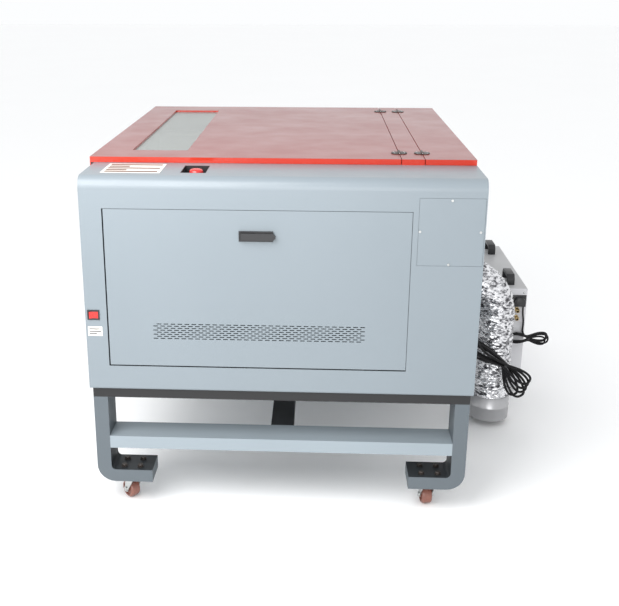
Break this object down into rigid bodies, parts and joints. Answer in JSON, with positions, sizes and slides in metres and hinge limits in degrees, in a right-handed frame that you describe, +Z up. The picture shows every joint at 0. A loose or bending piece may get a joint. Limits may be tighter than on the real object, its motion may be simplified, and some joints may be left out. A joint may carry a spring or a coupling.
{
  "type": "laser cutter",
  "caption": "Floor-standing laser cutter on a castor stand, with a windowed front lid, a rear cover, an end service door, an exhaust duct and a separate cooling unit.",
  "frame": {"origin": "on the floor, midway between the four castor swivels of the stand", "axes": "+Z up, -X towards the operator at the front edge of the lid, +X towards the exhaust, -Y towards the end with the service door"},
  "size_m": [1.3995, 1.423, 0.9366],
  "materials": {
    "cabinet_paint": "light blue-grey powder coat",
    "lid_paint": "orange-red gloss paint",
    "stand_paint": "grey powder coat",
    "bare_steel": "brushed",
    "zinc": "bright zinc plate",
    "dark_hinge": "dark bronze coat",
    "window": "grey tinted acrylic",
    "black_plastic": "satin moulded",
    "red_plastic": "gloss moulded",
    "castor_tread": "red-brown polyurethane",
    "foil": "crumpled foil",
    "rolled_aluminium": "smooth",
    "cable": "black flexible sheath",
    "laser_glass": "clear borosilicate",
    "extrusion": "anodised",
    "cooler_paint": "light grey powder coat"
  },
  "bodies": {
    "root": {"base_pan": "cabinet_paint", "castor_plates": "zinc", "centre_strip": "lid_paint", "chamber_floor": "cabinet_paint", "chamber_walls": "cabinet_paint", "cooler_case": "cooler_paint", "cooler_hank": "cable", "cooler_lead": "cable", "cooler_plug": "cable", "door_hinge_brackets": "zinc", "duct_collar": "rolled_aluminium", "estop_collar": "rolled_aluminium", "estop_well": "black_plastic", "exhaust_duct": "foil", "exhaust_outlet": "zinc", "far_end_panel": "cabinet_paint", "fixed_hinge_leaves": "dark_hinge", "front_panel": "cabinet_paint", "guide_rails": "extrusion", "hinge_pins": "zinc", "laser_tube": "laser_glass", "lift_screws": "zinc", "mains_gland": "black_plastic", "mains_hank": "cable", "mains_lead": "cable", "mains_plug": "cable", "near_end_panel": "cabinet_paint", "panel_screws": "zinc", "power_unit": "black_plastic", "rear_panel": "cabinet_paint", "service_panel": "cabinet_paint", "stand_beams": "stand_paint", "stand_feet": "stand_paint", "stand_posts": "stand_paint", "switch_bezel": "black_plastic", "tube_bay_shelf": "cabinet_paint", "tube_brackets": "black_plastic"},
    "front_lid": {"front_lid": "lid_paint", "lid_window": "window", "lid_hinge_leaves": "dark_hinge"},
    "rear_cover": {"rear_cover": "lid_paint", "cover_hinge_leaves": "dark_hinge"},
    "side_door": {"side_door": "cabinet_paint", "door_hinge_leaves": "zinc", "latch_housing": "black_plastic"},
    "latch": {"latch_handle": "black_plastic", "latch_cam": "zinc"},
    "estop": {"estop_head": "red_plastic"},
    "rocker": {"switch_rocker": "red_plastic"},
    "gantry": {"gantry_beam": "extrusion"},
    "head": {"laser_head": "rolled_aluminium"},
    "bed": {"work_bed": "extrusion"},
    "fork_front_near": {"castor_fork_front_near": "zinc"},
    "wheel_front_near": {"castor_wheel_front_near": "castor_tread"},
    "fork_rear_near": {"castor_fork_rear_near": "zinc"},
    "wheel_rear_near": {"castor_wheel_rear_near": "castor_tread"},
    "fork_front_far": {"castor_fork_front_far": "zinc"},
    "wheel_front_far": {"castor_wheel_front_far": "castor_tread"},
    "fork_rear_far": {"castor_fork_rear_far": "zinc"},
    "wheel_rear_far": {"castor_wheel_rear_far": "castor_tread"}
  },
  "joints": [
    {"name": "front_lid_hinge", "type": "hinge", "parent": "root", "child": "front_lid", "pos_m": [0.3055, 0, 0.9334], "axis": [0, 1, 0], "range_deg": [0, 75]},
    {"name": "rear_cover_hinge", "type": "hinge", "parent": "root", "child": "rear_cover", "pos_m": [0.3665, 0, 0.9334], "axis": [0, -1, 0], "range_deg": [0, 95]},
    {"name": "side_door_hinge", "type": "hinge", "parent": "root", "child": "side_door", "pos_m": [-0.0595, -0.695, 0.4243], "axis": [1, 0, 0], "range_deg": [0, 90]},
    {"name": "latch_turn", "type": "hinge", "parent": "side_door", "child": "latch", "pos_m": [-0.031, -0.704, 0.77], "axis": [0, 1, 0], "range_deg": [0, 90]},
    {"name": "estop_press", "type": "slide", "parent": "root", "child": "estop", "axis": [0, 0, -1], "range_m": [0, 0.005]},
    {"name": "rocker_tilt", "type": "hinge", "parent": "root", "child": "rocker", "pos_m": [-0.47825, -0.699, 0.5573], "axis": [0, 0, -1], "range_deg": [0, 16]},
    {"name": "gantry_travel", "type": "slide", "parent": "root", "child": "gantry", "axis": [-1, 0, 0], "range_m": [0, 0.58]},
    {"name": "head_travel", "type": "slide", "parent": "gantry", "child": "head", "axis": [0, 1, 0], "range_m": [0, 0.82]},
    {"name": "bed_lift", "type": "slide", "parent": "root", "child": "bed", "axis": [0, 0, -1], "range_m": [0, 0.15]},
    {"name": "swivel_front_near", "type": "hinge", "parent": "root", "child": "fork_front_near", "pos_m": [-0.403, -0.643, 0.065], "axis": [0, 0, 1], "continuous": true},
    {"name": "roll_front_near", "type": "hinge", "parent": "fork_front_near", "child": "wheel_front_near", "pos_m": [-0.41643, -0.62957, 0.025], "axis": [-0.7071, -0.7071, 0], "continuous": true},
    {"name": "swivel_rear_near", "type": "hinge", "parent": "root", "child": "fork_rear_near", "pos_m": [0.403, -0.643, 0.065], "axis": [0, 0, 1], "continuous": true},
    {"name": "roll_rear_near", "type": "hinge", "parent": "fork_rear_near", "child": "wheel_rear_near", "pos_m": [0.40036, -0.62418, 0.025], "axis": [-0.9903, -0.1392, 0], "continuous": true},
    {"name": "swivel_front_far", "type": "hinge", "parent": "root", "child": "fork_front_far", "pos_m": [-0.403, 0.643, 0.065], "axis": [0, 0, 1], "continuous": true},
    {"name": "roll_front_far", "type": "hinge", "parent": "fork_front_far", "child": "wheel_front_far", "pos_m": [-0.3935, 0.65945, 0.025], "axis": [-0.866, 0.5, 0], "continuous": true},
    {"name": "swivel_rear_far", "type": "hinge", "parent": "root", "child": "fork_rear_far", "pos_m": [0.403, 0.643, 0.065], "axis": [0, 0, 1], "continuous": true},
    {"name": "roll_rear_far", "type": "hinge", "parent": "fork_rear_far", "child": "wheel_rear_far", "pos_m": [0.3997, 0.66171, 0.025], "axis": [-0.9848, -0.1736, 0], "continuous": true}
  ]
}
